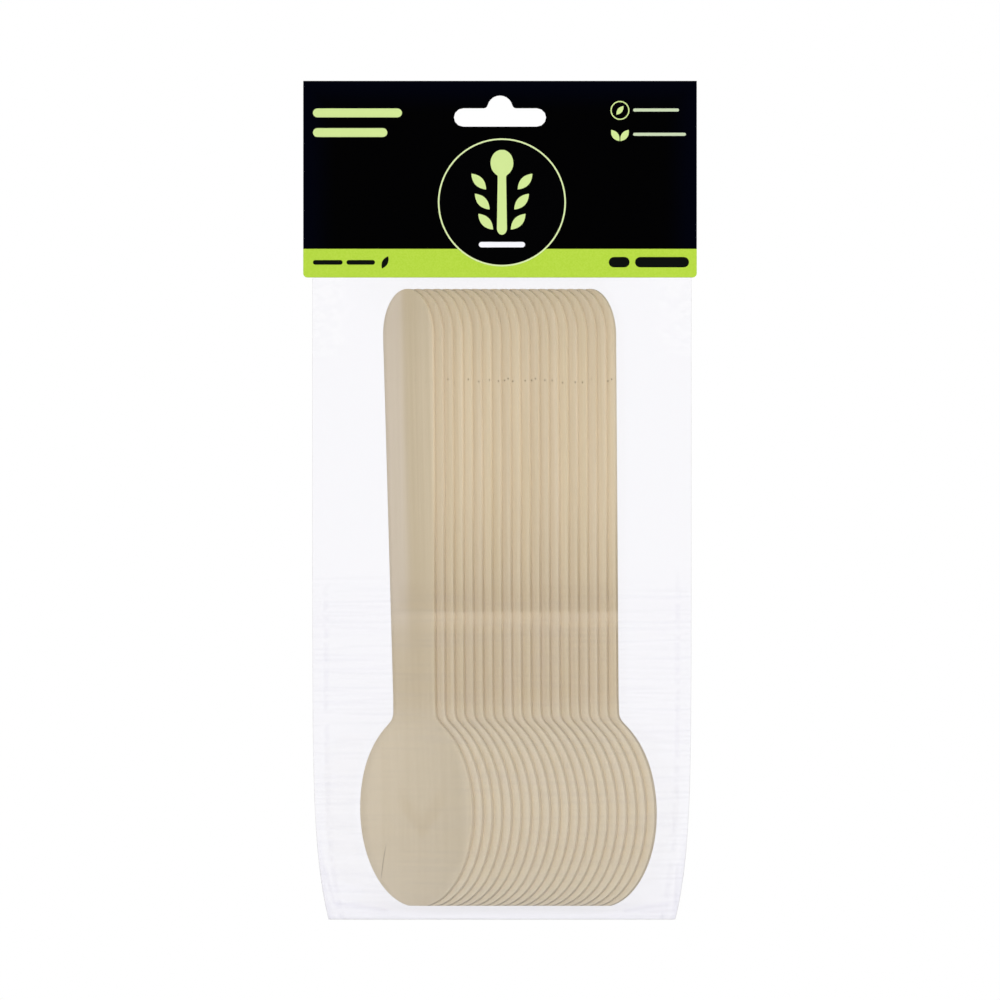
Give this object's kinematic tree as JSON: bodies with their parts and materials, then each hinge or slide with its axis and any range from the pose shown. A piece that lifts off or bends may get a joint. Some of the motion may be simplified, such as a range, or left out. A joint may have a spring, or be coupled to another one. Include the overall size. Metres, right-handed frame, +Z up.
{
  "type": "wooden cutlery pack",
  "caption": "Hanging retail pack of disposable wooden spoons: clear film bag closed by a folded header card with a euro hang slot.",
  "frame": {"origin": "top of the hang slot's dome, where a peg bears, half way through the header card's thickness", "axes": "+Z up, along the spoons from bowl to handle; -Y is the printed front; +X is to the right seen from the front"},
  "size_m": [0.102, 0.0226, 0.2175],
  "materials": {
    "birch_wood": "pale smooth veneer, unvarnished",
    "printed_card": "satin coated card printed black with a lime green band",
    "clear_film": "clear glossy thin plastic film"
  },
  "bodies": {
    "root": {"header_card": "printed_card", "film_bag": "clear_film", "spoon_01": "birch_wood", "spoon_02": "birch_wood", "spoon_03": "birch_wood", "spoon_04": "birch_wood", "spoon_05": "birch_wood", "spoon_06": "birch_wood", "spoon_07": "birch_wood", "spoon_08": "birch_wood", "spoon_09": "birch_wood", "spoon_10": "birch_wood", "spoon_11": "birch_wood", "spoon_12": "birch_wood", "spoon_13": "birch_wood", "spoon_14": "birch_wood", "spoon_15": "birch_wood", "spoon_16": "birch_wood", "spoon_17": "birch_wood", "spoon_18": "birch_wood", "spoon_19": "birch_wood", "spoon_20": "birch_wood"}
  },
  "joints": []
}
